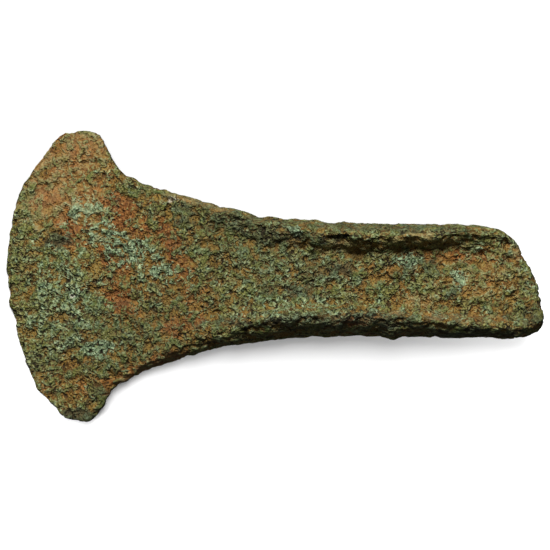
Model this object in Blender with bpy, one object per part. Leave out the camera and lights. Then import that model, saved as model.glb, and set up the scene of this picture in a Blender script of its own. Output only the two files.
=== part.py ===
"""Bronze flanged axe head: one solid casting that lies on its lower flanges and its cutting edge.

The head is first worked out level, in millimetres, in a frame of its own: x runs from the middle
of the cutting edge back to the butt, y across the head, and z through it from the mid-plane.
Rings of points go round the head from the edge to the butt. They start bowed like the cutting
edge, straighten along the body and end slanted like the butt. Each ring is a section: a convex
side, a flange crest, the flange's inner face and the floor of the haft channel, above and below.
The skin is bridged from ring to ring and subdivided once. The head is then tipped as it lies.
"""

import math

import bmesh
import bpy
import numpy as np
from mathutils import Vector

MM = 0.001

# The flat outline, as (x, y) in mm. The blade's two tips and the butt's two corners join them.
CUTTING_EDGE = (
    (18.4, -34.3), (15.3, -33.5), (12.4, -31.1), (8.9, -27.8), (4.7, -19.5), (1.7, -10.0),
    (-0.1, 0.5), (0.5, 12.0), (1.7, 18.0), (4.2, 23.6), (8.5, 29.2), (11.3, 33.1), (16.5, 34.4),
)
NEAR_SIDE = (
    (18.4, -34.3), (21.7, -33.8), (23.9, -31.2), (25.6, -27.8), (29.6, -24.7), (38.0, -20.8),
    (49.0, -17.2), (60.5, -15.1), (72.0, -13.9), (92.0, -13.5), (110.0, -13.6), (120.0, -13.5),
    (124.6, -12.1),
)
FAR_SIDE = (
    (16.5, 34.4), (20.3, 34.2), (22.5, 31.7), (25.2, 26.7), (31.0, 22.6), (40.0, 19.7),
    (51.5, 16.6), (63.0, 14.3), (76.0, 13.1), (95.0, 12.8), (111.0, 12.5), (116.0, 11.7),
)
BUTT = (
    (124.6, -12.1), (126.2, -9.4), (125.6, -6.0), (124.4, -1.0), (121.9, 4.5), (119.2, 9.1),
    (116.0, 11.7),
)

# Half thickness of the blade and of the channel's floor, and the flanges' height over it, each
# as (x, mm). The far flange of the upper face is worn down where it starts, and the other three
# are alike.
FLOOR = (
    (0.0, 0.9), (4.0, 1.3), (13.0, 2.1), (28.0, 3.5), (45.0, 4.5), (60.0, 4.6), (72.0, 4.1),
    (84.0, 3.5), (106.0, 2.7), (126.0, 2.3),
)
FLANGE = (
    (0.0, 0.0), (30.0, 0.0), (40.0, 0.3), (52.0, 2.2), (61.0, 4.1), (70.0, 5.2), (80.0, 5.6),
    (95.0, 5.4), (106.0, 4.6), (116.0, 2.9), (123.0, 1.0), (126.0, 0.5),
)
WORN_FLANGE = (
    (0.0, 0.0), (30.0, 0.0), (40.0, 0.4), (52.0, 1.4), (61.0, 2.1), (70.0, 2.9), (77.0, 4.1),
    (84.0, 5.2), (95.0, 5.2), (106.0, 4.4), (116.0, 2.8), (123.0, 1.0), (126.0, 0.5),
)
# How far in from each side its crest lies, and how wide the face from crest to floor is,
# as (x, mm).
NEAR_INSET = (
    (0.0, 1.2), (31.0, 2.6), (42.0, 3.6), (54.0, 4.0), (62.0, 4.4), (74.0, 4.5), (92.0, 4.2),
    (106.0, 3.2), (116.0, 2.5), (126.0, 2.3),
)
FAR_INSET = (
    (0.0, 1.2), (30.0, 1.5), (46.0, 1.9), (57.0, 2.3), (67.0, 3.0), (78.0, 3.8), (98.0, 3.8),
    (108.0, 3.4), (126.0, 3.0),
)
NEAR_INNER_FACE = ((0.0, 3.0), (50.0, 4.4), (70.0, 4.0), (90.0, 3.4), (126.0, 3.4))
FAR_INNER_FACE = (
    (0.0, 3.0), (50.0, 5.0), (62.0, 6.0), (72.0, 5.8), (82.0, 3.8), (92.0, 2.9), (126.0, 2.8),
)
SIDE_POWER = 1.2        # 1 makes each side's upper half a quarter ellipse, 2 a straight slope

EDGE_ROUND = 0.9        # radius of the blunted cutting edge
BUTT_ROUND = 2.4        # width of the worn bevel round the butt
EDGE_FADE = 0.45        # share of the rings that are still bowed like the cutting edge
BUTT_FADE = 0.25        # share of the rings that lean like the butt
SLANT_START = 0.5       # ring where the far side starts to fall behind the near side

# The haft seat is a true flat in the middle of the channel's floor, above and below.
SEAT = (84.0, 106.0)
SEAT_HALF_WIDTH = 5.0
SEAT_MARGIN = 2.5

# Slow swells of the two faces: each is a height in mm times two waves, and a wave is (radians
# for each mm along x, for each mm along y, shift, shift by face). They fade where it is thin.
SWELLS = (
    (0.16, ((0.31, 0.17, 0.0, 0.8), (0.13, -0.36, 1.1, 0.0))),
    (0.09, ((0.74, -0.21, 0.0, 2.0), (0.22, 0.58, 0.0, 0.0))),
)
SWELL_FADE = (0.4, 2.4)     # half thicknesses where the swells start and are full

# Small forms that show in the outline, as (x, size outwards, length along the side) in mm.
NEAR_KNOBS = ((91.5, 0.8, 1.6), (34.0, -0.3, 2.5), (115.0, -0.25, 2.5))
FAR_KNOBS = ((60.0, -0.45, 2.0), (50.5, -0.35, 1.2), (80.0, 0.4, 1.8), (72.5, 0.3, 2.2))

# Rings close to each end follow its rounding, as distances in mm. The others lie evenly.
EDGE_RINGS = (0.0, 0.3, 1.0, 2.4)
BUTT_RINGS = (0.0, 0.5, 1.6, 3.4)
BODY_RINGS = 26
SIDE_STEPS = 4
INNER_STEPS = 3
FLOOR_STEPS = 5
FINE_STEPS = 2001       # places where the middle line is measured to set the rings out
MERGE = 0.01 * MM

# The head lies on its cutting edge and on the bellies of its lower flanges.
BELLY_START = 50.0
BELLY_REACH = 78.0      # from the edge back to the bellies
BELLY_GAP = 21.0        # from belly to belly
LEVEL_TURNS = 30
CONTACT_FLAT = 0.12     # how much is worn off flat at each of these places
GROUND_SIZE = 0.3       # metres

BRONZE = (0.125, 0.105, 0.052, 1.0)
BRONZE_ROUGHNESS = 0.75
BRONZE_METALLIC = 0.25


def through(knots, x):
    """Smooth curve through (place, value) knots, its slope at each knot set by its neighbours."""
    places, values = np.array(knots).T
    slopes = np.gradient(values, places)
    x = np.clip(x, places[0], places[-1])
    i = np.clip(np.searchsorted(places, x) - 1, 0, len(places) - 2)
    span = places[i + 1] - places[i]
    t = (x - places[i]) / span
    start = (1 + 2 * t) * (1 - t) ** 2 * values[i] + t * (1 - t) ** 2 * span * slopes[i]
    end = t * t * (3 - 2 * t) * values[i + 1] - t * t * (1 - t) * span * slopes[i + 1]
    return start + end


def along(points, share):
    """Points of the smooth curve through flat points, at shares of its length from 0 to 1."""
    points = np.array(points)
    lengths = np.hypot(*np.diff(points, axis=0).T)
    places = np.concatenate(([0.0], np.cumsum(lengths))) / lengths.sum()
    axes = [through(np.column_stack((places, column)), share) for column in points.T]
    return np.column_stack(axes)


def ease(t):
    """0 to 1 with level ends as t goes from 0 to 1."""
    t = np.clip(t, 0.0, 1.0)
    return t * t * (3 - 2 * t)


def knob(knobs, x):
    """Sum of the small swellings and dips of a side at x."""
    return sum(size * np.exp(-(((x - at) / length) ** 2)) for at, size, length in knobs)


def sides_at(u):
    """The points where ring u, from 0 at the edge to 1 at the butt, meets the two sides."""
    near_start, near_end = NEAR_SIDE[0][0], NEAR_SIDE[-1][0]
    far_start, far_end = FAR_SIDE[0][0], FAR_SIDE[-1][0]
    near_x = near_start + (near_end - near_start) * u
    slant = far_start + (near_end - near_start) - far_end
    leaning = ease((u - SLANT_START) / (1 - SLANT_START))
    far_x = far_start + (near_end - near_start) * u - slant * leaning
    near = (near_x, through(NEAR_SIDE, near_x) - knob(NEAR_KNOBS, near_x))
    far = (far_x, through(FAR_SIDE, far_x) + knob(FAR_KNOBS, far_x))
    return np.array(near), np.array(far)


def across(u, share):
    """Flat points of ring u at shares of the way from the near side to the far side."""
    share = np.atleast_1d(share)[:, None]
    near, far = sides_at(u)
    flat = near + (far - near) * share
    bowed = max(1 - u / EDGE_FADE, 0.0) ** 2
    leaning = max(1 - (1 - u) / BUTT_FADE, 0.0) ** 2
    for points, amount in ((CUTTING_EDGE, bowed), (BUTT, leaning)):
        straight = np.array(points[0]) + (np.array(points[-1]) - np.array(points[0])) * share
        flat = flat + amount * (along(points, share[:, 0]) - straight)
    return flat


def middle_at(u):
    """Distance from the cutting edge along the head's middle line."""
    return across(u, 0.5)[0, 0] - across(0.0, 0.5)[0, 0]


def rounding(distance, radius):
    """Share of the full thickness at a distance from a rounded end."""
    return math.sqrt(1 - (1 - min(distance / radius, 1.0)) ** 2)


def ring_heights(u, face):
    """(share across, height over the mid-plane) of ring u on one face, near side to far side."""
    x = middle_at(u)
    near, far = sides_at(u)
    width = math.dist(near, far)
    floor = float(through(FLOOR, x))
    turn = np.linspace(0.0, math.pi / 2, SIDE_STEPS + 1)
    out, up = np.abs(np.cos(turn)) ** SIDE_POWER, np.sin(turn) ** SIDE_POWER
    slope = np.linspace(0.0, 1.0, INNER_STEPS + 1)[1:]
    fall = (1 + np.cos(math.pi * slope)) / 2
    near_half = (FLANGE, NEAR_INSET, NEAR_INNER_FACE)
    far_half = (WORN_FLANGE if face > 0 else FLANGE, FAR_INSET, FAR_INNER_FACE)
    halves = []
    for half in (near_half, far_half):
        flange, inset, inner = (float(through(knots, x)) for knots in half)
        outside = np.column_stack((inset * (1 - out), (floor + flange) * up))
        inside = np.column_stack((inset + inner * slope, floor + flange * fall))
        halves.append(np.vstack((outside, inside)))
    near_half, far_half = halves
    near_half[:, 0] /= width
    far_half[:, 0] = 1 - far_half[:, 0] / width
    between = np.linspace(near_half[-1, 0], far_half[-1, 0], FLOOR_STEPS + 1)[1:-1]
    middle = np.column_stack((between, np.full(len(between), floor)))
    whole = np.vstack((near_half, middle, far_half[::-1]))
    ends = rounding(x, EDGE_ROUND) * rounding(middle_at(1.0) - x, BUTT_ROUND)
    whole[:, 1] *= ends
    return whole


def uneven(x, y, face):
    """Slow swells of a hammered and corroded face, which is +1 above and -1 below."""
    total = 0.0
    for height, waves in SWELLS:
        swell = height
        for by_x, by_y, shift, face_shift in waves:
            swell = swell * np.sin(by_x * x + by_y * y + shift + face_shift * face)
        total = total + swell
    return total


def seat_share(x, y):
    """1 on the flat of the haft seat, fading to 0 round it."""
    along_seat = ease((x - SEAT[0]) / SEAT_MARGIN + 1) * ease((SEAT[1] - x) / SEAT_MARGIN + 1)
    return along_seat * ease((SEAT_HALF_WIDTH - abs(y)) / SEAT_MARGIN + 1)


def seat_height(x):
    """Height of the haft seat's plane over the mid-plane."""
    start, end = through(FLOOR, SEAT[0]), through(FLOOR, SEAT[1])
    return start + (end - start) * (x - SEAT[0]) / (SEAT[1] - SEAT[0])


def face_points(u, face):
    """Ring u's points on one face, near side to far side, as (x, y, z) in mm."""
    shares, heights = ring_heights(u, face).T
    x, y = across(u, shares).T
    thick = np.clip((heights - SWELL_FADE[0]) / (SWELL_FADE[1] - SWELL_FADE[0]), 0.0, 1.0)
    swell = uneven(x, y, face) * thick
    flat = seat_share(x, y)
    z = (heights + swell) * (1 - flat) + seat_height(x) * flat
    return np.column_stack((x, y, face * z))


def ring_points(u):
    """Every point of ring u: over the upper face to the far side and back underneath."""
    upper = face_points(u, 1.0)
    lower = face_points(u, -1.0)
    return np.vstack((upper, lower[-2:0:-1]))


def ring_places():
    """The u of every ring, close together at the rounded ends."""
    fine = np.linspace(0.0, 1.0, FINE_STEPS)
    middles = np.array([middle_at(u) for u in fine])
    length = middles[-1]
    body = np.linspace(EDGE_RINGS[-1], length - BUTT_RINGS[-1], BODY_RINGS)
    wanted = np.concatenate((EDGE_RINGS[:-1], body, length - np.array(BUTT_RINGS[-2::-1])))
    return np.interp(wanted, middles, fine)


def bronze():
    """Dull brown-green bronze under a dry corrosion crust."""
    material = bpy.data.materials.new("patinated_bronze")
    material.use_nodes = True
    shader = material.node_tree.nodes["Principled BSDF"]
    shader.inputs["Base Color"].default_value = BRONZE
    shader.inputs["Roughness"].default_value = BRONZE_ROUGHNESS
    shader.inputs["Metallic"].default_value = BRONZE_METALLIC
    return material


def level_head():
    """The head as one closed skin in its own level frame, bridged from ring to ring."""
    skin = bmesh.new()
    loops = []
    for u in ring_places():
        loops.append([skin.verts.new(Vector(point)) for point in ring_points(u) * MM])
    for ring, following in zip(loops, loops[1:]):
        for i, vert in enumerate(ring):
            beside = (i + 1) % len(ring)
            skin.faces.new((vert, following[i], following[beside], ring[beside]))
    # The first and last rings have no thickness, so their two faces meet in one line.
    bmesh.ops.remove_doubles(skin, verts=loops[0] + loops[-1], dist=MERGE)
    bmesh.ops.recalc_face_normals(skin, faces=skin.faces)
    mesh = bpy.data.meshes.new("axe_head")
    skin.to_mesh(mesh)
    skin.free()
    mesh.shade_smooth()
    mesh.materials.append(bronze())
    head = bpy.data.objects.new("axe_head", mesh)
    bpy.context.collection.objects.link(head)
    smooth = head.modifiers.new("smooth", "SUBSURF")
    smooth.levels = 1
    smooth.render_levels = 1
    return head


def finished_points(head):
    """The points of the head's subdivided skin, in its own level frame."""
    finished = head.evaluated_get(bpy.context.evaluated_depsgraph_get()).data
    points = np.empty(len(finished.vertices) * 3)
    finished.vertices.foreach_get("co", points)
    return points.reshape(-1, 3)


def lay_down(head):
    """Turns the head until its two lower flanges and its cutting edge are level, and centres it.

    Behind BELLY_START the lowest point of each half is a flange's belly, and the lowest point
    before it is the edge. Each turn of the loop tips and rolls the head by what is left.
    """
    x, y, z = finished_points(head).T
    edge = x < BELLY_START * MM
    near, far = ~edge & (y < 0), ~edge & (y > 0)
    tip, roll = 0.0, 0.0
    for _ in range(LEVEL_TURNS):
        upright = z * math.cos(roll) + y * math.sin(roll)
        height = x * math.sin(tip) + upright * math.cos(tip)
        low_edge, low_near, low_far = height[edge].min(), height[near].min(), height[far].min()
        tip += (low_edge - (low_near + low_far) / 2) / (BELLY_REACH * MM)
        roll += (low_near - low_far) / (BELLY_GAP * MM)
    forward = x * math.cos(tip) - upright * math.sin(tip)
    sideways = y * math.cos(roll) - z * math.sin(roll)
    head.rotation_euler = (roll, -tip, 0.0)
    head.location = (
        -(forward.min() + forward.max()) / 2,
        -(sideways.min() + sideways.max()) / 2,
        -height.min() - CONTACT_FLAT * MM,
    )


def wear_flat(head):
    """Cuts off what would be under the surface, which leaves small flats where the head lies."""
    bpy.ops.mesh.primitive_cube_add(size=GROUND_SIZE, location=(0.0, 0.0, -GROUND_SIZE / 2))
    ground = bpy.context.active_object
    ground.name = "ground_cutter"
    ground.hide_render = True
    ground.display_type = "WIRE"
    worn = head.modifiers.new("worn_flats", "BOOLEAN")
    worn.operation = "DIFFERENCE"
    worn.solver = "EXACT"
    worn.object = ground


for old in list(bpy.data.objects):
    bpy.data.objects.remove(old)
axe_head = level_head()
lay_down(axe_head)
wear_flat(axe_head)
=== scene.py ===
"""A bronze flanged axe head as it came out of the ground, on a pale floor in soft daylight.

The head is one closed skin, worked out as whole arrays on a grid: one parameter runs from the
cutting edge back to the butt, the other round the section. The skin is roughened by relief (slow
swells, lumps, grains, pits, cracks and crusts) and dressed in a patina of olive corrosion, pale
green crusts and brown earth. Its colour also holds painted shade in creases, hollows and along
the near edge, and painted highlights on the tops of the relief. Lengths are in millimetres until
a mesh is made.
"""

import logging
import math
from dataclasses import dataclass, field
from enum import Enum, IntEnum

import bpy
import numpy as np
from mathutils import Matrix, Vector


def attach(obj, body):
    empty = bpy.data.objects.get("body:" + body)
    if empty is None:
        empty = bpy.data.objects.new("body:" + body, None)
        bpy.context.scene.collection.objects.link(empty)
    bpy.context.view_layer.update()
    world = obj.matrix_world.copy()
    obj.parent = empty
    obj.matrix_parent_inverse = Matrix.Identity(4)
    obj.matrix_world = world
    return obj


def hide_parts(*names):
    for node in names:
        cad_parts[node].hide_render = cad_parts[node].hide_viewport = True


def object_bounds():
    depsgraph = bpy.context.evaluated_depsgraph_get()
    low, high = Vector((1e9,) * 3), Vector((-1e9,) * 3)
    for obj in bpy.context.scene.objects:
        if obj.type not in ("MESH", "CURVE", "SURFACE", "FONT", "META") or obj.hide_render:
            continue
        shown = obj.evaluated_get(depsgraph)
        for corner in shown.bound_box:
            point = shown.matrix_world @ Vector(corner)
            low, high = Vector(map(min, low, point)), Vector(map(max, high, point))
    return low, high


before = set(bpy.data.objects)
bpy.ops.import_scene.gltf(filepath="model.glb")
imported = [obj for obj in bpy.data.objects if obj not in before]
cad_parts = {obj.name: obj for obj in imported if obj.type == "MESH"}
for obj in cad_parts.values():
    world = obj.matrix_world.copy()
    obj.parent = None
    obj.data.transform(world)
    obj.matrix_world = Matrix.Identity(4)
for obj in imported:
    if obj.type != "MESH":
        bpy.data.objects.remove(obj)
CAD_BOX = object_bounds()

MM = 0.001
# The section parameter in the middle of a face, and at its far side.
MIDDLE = 2.5
FAR_SIDE = 5.0
# What brings gradient noise to about -1 to 1.
NOISE_GAIN = 1.7
# The least length that is divided by.
TINY = 1e-12

Array = np.ndarray
Pair = tuple[float, float]
Knots = tuple[Pair, ...]
Triple = tuple[float, float, float]
Colour = tuple[float, float, float, float]
Value = "Wire | float | Colour | Triple"

log = logging.getLogger("axe_head")


class Face(Enum):
    """The two faces of the head, each with its direction through the thickness."""

    UPPER = 1.0
    LOWER = -1.0


class Lamp(Enum):
    """What a soft light is: a square panel, or a round bulb that shines all round."""

    PANEL = "AREA"
    BULB = "POINT"


class Finish(Enum):
    """Layers of patina and of painted shade and light, named as the skin's attributes are."""

    EARTH = "earth"
    VERDIGRIS = "verdigris"
    DUST = "dust"
    CHALK = "chalk"
    SHADE = "shade"


class Seed(IntEnum):
    """Which random pattern each part of the relief takes."""

    STRAY = 61
    LUMPS = 71
    ISLANDS = 73
    KNOLLS = 75
    GRAINS = 81
    GRIT = 91
    PITS = 95
    RIBS = 97


# ---- Curves and noise ----


def through(knots: Knots, x: Array) -> Array:
    """Smooth curve through knots: a cubic between each pair, its slopes set by the neighbours.

    Args:
        knots: (place, value) pairs in rising order of place.
        x: places to read, held inside the knots.

    Returns:
        The curve's values, in the shape of x.
    """
    places, values = np.array(knots).T
    slopes = np.gradient(values, places)
    x = np.clip(x, places[0], places[-1])
    i = np.clip(np.searchsorted(places, x) - 1, 0, len(places) - 2)
    span = places[i + 1] - places[i]
    t = (x - places[i]) / span
    start = (1 + 2 * t) * (1 - t) ** 2 * values[i] + t * (1 - t) ** 2 * span * slopes[i]
    end = t * t * (3 - 2 * t) * values[i + 1] - t * t * (1 - t) * span * slopes[i + 1]
    return start + end


def along(points: Knots, share: Array) -> tuple[Array, Array]:
    """Smooth curve through flat points, read at shares of its length.

    Args:
        points: (x, y) points in order.
        share: places from 0 to 1.

    Returns:
        The curve's x and y, each in the shape of share.
    """
    flat = np.array(points)
    lengths = np.hypot(*np.diff(flat, axis=0).T)
    places = np.concatenate(([0.0], np.cumsum(lengths))) / lengths.sum()
    x_knots, y_knots = (tuple(zip(places, column)) for column in flat.T)
    return through(x_knots, share), through(y_knots, share)


def ease(t: Array) -> Array:
    """0 to 1 with level ends as t goes from 0 to 1: three t squared less two t cubed."""
    t = np.clip(t, 0.0, 1.0)
    return t * t * (3 - 2 * t)


def knob(knobs: tuple[Triple, ...], x: Array) -> Array:
    """Sum of small bells along a side, each (place, size outwards, length), at x."""
    return sum(size * np.exp(-(((x - at) / length) ** 2)) for at, size, length in knobs)


def rise(least: float, share: Array) -> Array:
    """A straight climb from least to 1 as the share goes from 0 to 1."""
    return least + (1 - least) * share


def scatter(cells: Array, seed: int) -> Array:
    """A settled random number for each whole-numbered cell.

    The three numbers are multiplied by large primes and added, then stirred by shifts and
    products.

    Args:
        cells: whole numbers, the last axis of length 3.
        seed: picks one of many independent patterns.

    Returns:
        Numbers from 0 to 1, without the last axis.
    """
    primes = np.array((73856093, 19349663, 83492791), dtype=np.int64)
    mixed = ((cells * primes).sum(axis=-1) + seed * 2654435761).astype(np.uint64)
    for shift, factor in ((33, 0xFF51AFD7ED558CCD), (29, 0xC4CEB9FE1A85EC53), (32, 1)):
        mixed ^= mixed >> np.uint64(shift)
        mixed *= np.uint64(factor)
    return (mixed >> np.uint64(11)) / 2.0**53


def gradient_noise(points: Array, seed: int) -> Array:
    """Smooth noise of about -1 to 1 with one swell to a unit.

    Each corner of the unit cell round a point has a random slope. The slopes' heights at the
    point are blended by eased shares along the three axes.

    Args:
        points: places, the last axis of length 3.
        seed: picks the pattern.

    Returns:
        The noise, without the last axis.
    """
    cell = np.floor(points).astype(np.int64)
    part = points - cell
    eased = ease(part)
    total = np.zeros(points.shape[:-1])
    for corner in np.ndindex(2, 2, 2):
        offset = np.array(corner)
        slope = [scatter(cell + offset, seed * 3 + axis) * 2 - 1 for axis in range(3)]
        height = sum(slope[axis] * (part[..., axis] - corner[axis]) for axis in range(3))
        shares = np.where(offset, eased, 1 - eased)
        total += height * shares.prod(axis=-1)
    return total * NOISE_GAIN


def fractal_noise(points: Array, octaves: int, seed: int) -> Array:
    """Gradient noise plus finer copies, each half as high and half as long as the last."""
    return sum(gradient_noise(points * 2.0**i, seed + i) * 0.5**i for i in range(octaves))


@dataclass(frozen=True)
class Grains:
    """What cell noise says at each point: how far off the nearest grain's seed is, and which.

    Attributes:
        near: distance to the nearest seed.
        gap: how much further the second nearest is, which is 0 on the border of two grains.
        draw: the nearest grain's own random number from 0 to 1.
    """

    near: Array
    gap: Array
    draw: Array


def grain_noise(points: Array, seed: int) -> Grains:
    """Cell noise: one seed point lies at random in each unit cell, and the nearest two count.

    Args:
        points: places, the last axis of length 3.
        seed: picks the pattern.

    Returns:
        The distances and the draw of the nearest grain.
    """
    home = np.floor(points).astype(np.int64)
    near = np.full(points.shape[:-1], np.inf)
    second = near.copy()
    draw = np.zeros(near.shape)
    for step in np.ndindex(3, 3, 3):
        cell = home + np.array(step) - 1
        place = [cell[..., axis] + scatter(cell, seed * 5 + axis) for axis in range(3)]
        distance = np.sqrt(sum((place[axis] - points[..., axis]) ** 2 for axis in range(3)))
        closer = distance < near
        second = np.where(closer, near, np.minimum(second, distance))
        near = np.where(closer, distance, near)
        draw = np.where(closer, scatter(cell, seed * 5 + 3), draw)
    return Grains(near, second - near, draw)


# ---- The head's form ----


@dataclass(frozen=True)
class HeadForm:
    """The head's smooth form, level, in millimetres.

    x runs from the middle of the cutting edge to the butt, y across and z through the head from
    its mid-plane. A ring u goes from 0 at the edge to 1 at the butt. Round one face of a ring the
    section parameter s goes 0 to 1 up the near side, to 2 down the near flange's inner face, to 3
    over the channel's floor, to 4 up the far flange and to 5 down the far side.
    """

    cutting_edge: Knots = (
        (18.4, -34.3), (15.3, -33.5), (12.4, -31.1), (8.9, -27.8), (4.7, -19.5), (1.7, -10),
        (-0.1, 0.5), (0.5, 12), (1.7, 18), (4.2, 23.6), (8.5, 29.2), (11.3, 33.1), (16.5, 34.4),
    )
    near_side: Knots = (
        (18.4, -34.3), (21.7, -33.8), (23.9, -31.2), (25.6, -27.8), (29.6, -24.7), (38, -20.8),
        (49, -17.2), (60.5, -15.1), (72, -13.9), (92, -13.5), (110, -13.6), (120, -13.5),
        (124.6, -12.1),
    )
    far_side: Knots = (
        (16.5, 34.4), (20.3, 34.2), (22.5, 31.7), (25.2, 26.7), (31, 22.6), (40, 19.7),
        (51.5, 16.6), (63, 14.3), (76, 13.1), (95, 12.8), (111, 12.5), (116, 11.7),
    )
    butt: Knots = (
        (124.6, -12.1), (126.2, -9.4), (125.6, -6), (124.4, -1), (121.9, 4.5), (119.2, 9.1),
        (116, 11.7),
    )
    floor: Knots = (
        (0, 0.9), (4, 1.3), (13, 2.1), (28, 3.5), (45, 4.5), (60, 4.6), (72, 4.1), (84, 3.5),
        (106, 2.7), (126, 2.3),
    )
    flange: Knots = (
        (0, 0), (30, 0), (40, 0.3), (52, 2.2), (61, 4.1), (70, 5.2), (80, 5.6), (95, 5.4),
        (106, 4.6), (116, 2.9), (123, 1), (126, 0.5),
    )
    worn_flange: Knots = (
        (0, 0), (30, 0), (40, 0.4), (52, 1.4), (61, 2.1), (70, 2.9), (77, 4.1), (84, 5.2),
        (95, 5.2), (106, 4.4), (116, 2.8), (123, 1), (126, 0.5),
    )
    near_inset: Knots = (
        (0, 1.2), (31, 2.6), (42, 3.6), (54, 4), (62, 4.4), (74, 4.5), (92, 4.2), (106, 3.2),
        (116, 2.5), (126, 2.3),
    )
    far_inset: Knots = (
        (0, 1.2), (30, 1.5), (46, 1.9), (57, 2.3), (67, 3), (78, 3.8), (98, 3.8), (108, 3.4),
        (126, 3),
    )
    near_inner_face: Knots = ((0, 3), (50, 4.4), (70, 4), (90, 3.4), (126, 3.4))
    far_inner_face: Knots = ((0, 3), (50, 5), (62, 6), (72, 5.8), (82, 3.8), (92, 2.9), (126, 2.8))
    near_knobs: tuple[Triple, ...] = ((91.5, 0.8, 1.6), (34, -0.3, 2.5), (115, -0.25, 2.5))
    far_knobs: tuple[Triple, ...] = (
        (60, -0.45, 2), (50.5, -0.35, 1.2), (80, 0.4, 1.8), (72.5, 0.3, 2.2),
    )
    side_power: float = 1.2
    edge_round: float = 0.9
    butt_round: float = 2.4
    edge_fade: float = 0.45
    butt_fade: float = 0.25
    slant_start: float = 0.5
    # Distances from the middle of a section at which the crest and the outer side take over.
    crest_from: float = 0.9
    crest_ease: float = 0.5
    outer_from: float = 1.5
    outer_ease: float = 0.3
    # Height at which a flange counts in full.
    full_flange: float = 3.0
    # Spacing of the rings along the head as (x, mm), before they are stretched to their number.
    ring_spacing: Knots = (
        (0, 0.05), (0.4, 0.12), (1.6, 0.3), (40, 0.32), (60, 0.42), (121, 0.46), (124.5, 0.24),
        (126, 0.1),
    )
    rings: int = 310
    columns: int = 160
    fine: int = 2001
    section_fine: int = 401

    def sides(self, u: Array) -> tuple[Array, Array, Array, Array]:
        """Where ring u meets the two sides.

        Args:
            u: rings, 0 at the edge and 1 at the butt.

        Returns:
            x and y at the near side, then x and y at the far side.
        """
        near_start, near_end = self.near_side[0][0], self.near_side[-1][0]
        far_start, far_end = self.far_side[0][0], self.far_side[-1][0]
        near_x = near_start + (near_end - near_start) * u
        slant = far_start + (near_end - near_start) - far_end
        far_x = far_start + (near_end - near_start) * u
        far_x = far_x - slant * ease((u - self.slant_start) / (1 - self.slant_start))
        near_y = through(self.near_side, near_x) - knob(self.near_knobs, near_x)
        far_y = through(self.far_side, far_x) + knob(self.far_knobs, far_x)
        return near_x, near_y, far_x, far_y

    def across(self, u: Array, share: Array) -> tuple[Array, Array]:
        """The flat outline's points: a straight line from side to side, bowed near both ends.

        Near the edge the line takes on the cutting edge's bow, and near the butt its slant and
        bow, each by a share that falls off as a square.

        Args:
            u: rings.
            share: the way across, from 0 at the near side to 1 at the far side.

        Returns:
            x and y.
        """
        near_x, near_y, far_x, far_y = self.sides(u)
        x = near_x + (far_x - near_x) * share
        y = near_y + (far_y - near_y) * share
        bowed = np.clip(1 - u / self.edge_fade, 0.0, None) ** 2
        leaning = np.clip(1 - (1 - u) / self.butt_fade, 0.0, None) ** 2
        for points, amount in ((self.cutting_edge, bowed), (self.butt, leaning)):
            curve_x, curve_y = along(points, share)
            chord_x = points[0][0] + (points[-1][0] - points[0][0]) * share
            chord_y = points[0][1] + (points[-1][1] - points[0][1]) * share
            x = x + amount * (curve_x - chord_x)
            y = y + amount * (curve_y - chord_y)
        return x, y

    def middle(self, u: Array) -> Array:
        """Distance from the cutting edge along the head's middle line."""
        half = np.full_like(u, 0.5)
        return self.across(u, half)[0] - self.across(np.zeros_like(u), half)[0]

    def half_section(
        self, turn: Array, inset: Array, inner: Array, floor: Array, crest: Array
    ) -> tuple[Array, Array]:
        """From a side over the flange's crest to the channel's floor.

        Up to turn 1 this is a bulged quarter ellipse up to the crest. From 1 to 2 it is half a
        cosine wave down to the floor.

        Args:
            turn: place on the half section, from 0 to 2.
            inset: how far in the crest lies.
            inner: how wide the flange's inner face is.
            floor: height of the floor over the mid-plane.
            crest: height of the crest over the mid-plane.

        Returns:
            Distance in from the side, and height over the mid-plane.
        """
        angle = np.clip(turn, 0.0, 1.0) * math.pi / 2
        slope = np.clip(turn - 1, 0.0, 1.0)
        bulge = np.abs(np.cos(angle)) ** self.side_power
        distance = inset * (1 - bulge) + inner * slope
        rise = crest * np.abs(np.sin(angle)) ** self.side_power
        fall = floor + (crest - floor) * (1 + np.cos(math.pi * slope)) / 2
        return distance, np.where(turn < 1, rise, fall)

    def section(self, u: Array, s: Array, face: Face) -> tuple[Array, Array, Array]:
        """Points of one face, the mid-plane's side being z = 0.

        Args:
            u: rings.
            s: section parameter from 0 to 5.
            face: the face, as the far flange is worn down on the upper one alone.

        Returns:
            x, y and height over the mid-plane.
        """
        station = self.middle(u)
        near_x, near_y, far_x, far_y = self.sides(u)
        width = np.hypot(far_x - near_x, far_y - near_y)
        floor = through(self.floor, station)
        far_flange = self.worn_flange if face is Face.UPPER else self.flange
        near_n, near_z = self.half_section(
            np.clip(s, 0.0, 2.0),
            through(self.near_inset, station),
            through(self.near_inner_face, station),
            floor,
            floor + through(self.flange, station),
        )
        far_n, far_z = self.half_section(
            np.clip(FAR_SIDE - s, 0.0, 2.0),
            through(self.far_inset, station),
            through(self.far_inner_face, station),
            floor,
            floor + through(far_flange, station),
        )
        over = np.clip(s - 2, 0.0, 1.0)
        share = near_n / width * (1 - over) + (1 - far_n / width) * over
        x, y = self.across(u, share)
        length = self.middle(np.ones_like(u))
        ends = self.rounding(station, self.edge_round)
        ends = ends * self.rounding(length - station, self.butt_round)
        return x, y, np.where(s < MIDDLE, near_z, far_z) * ends

    def standing(self, u: Array) -> Array:
        """How far the flanges stand at each ring, which is 1 from their full height on."""
        return ease(through(self.flange, self.middle(u)) / self.full_flange)

    def ridge(self, u: Array, s: Array) -> Array:
        """How far each place belongs to a flange: 1 over its crest, 0 low on its inner face."""
        return ease((np.abs(s - MIDDLE) - self.crest_from) / self.crest_ease) * self.standing(u)

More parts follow.
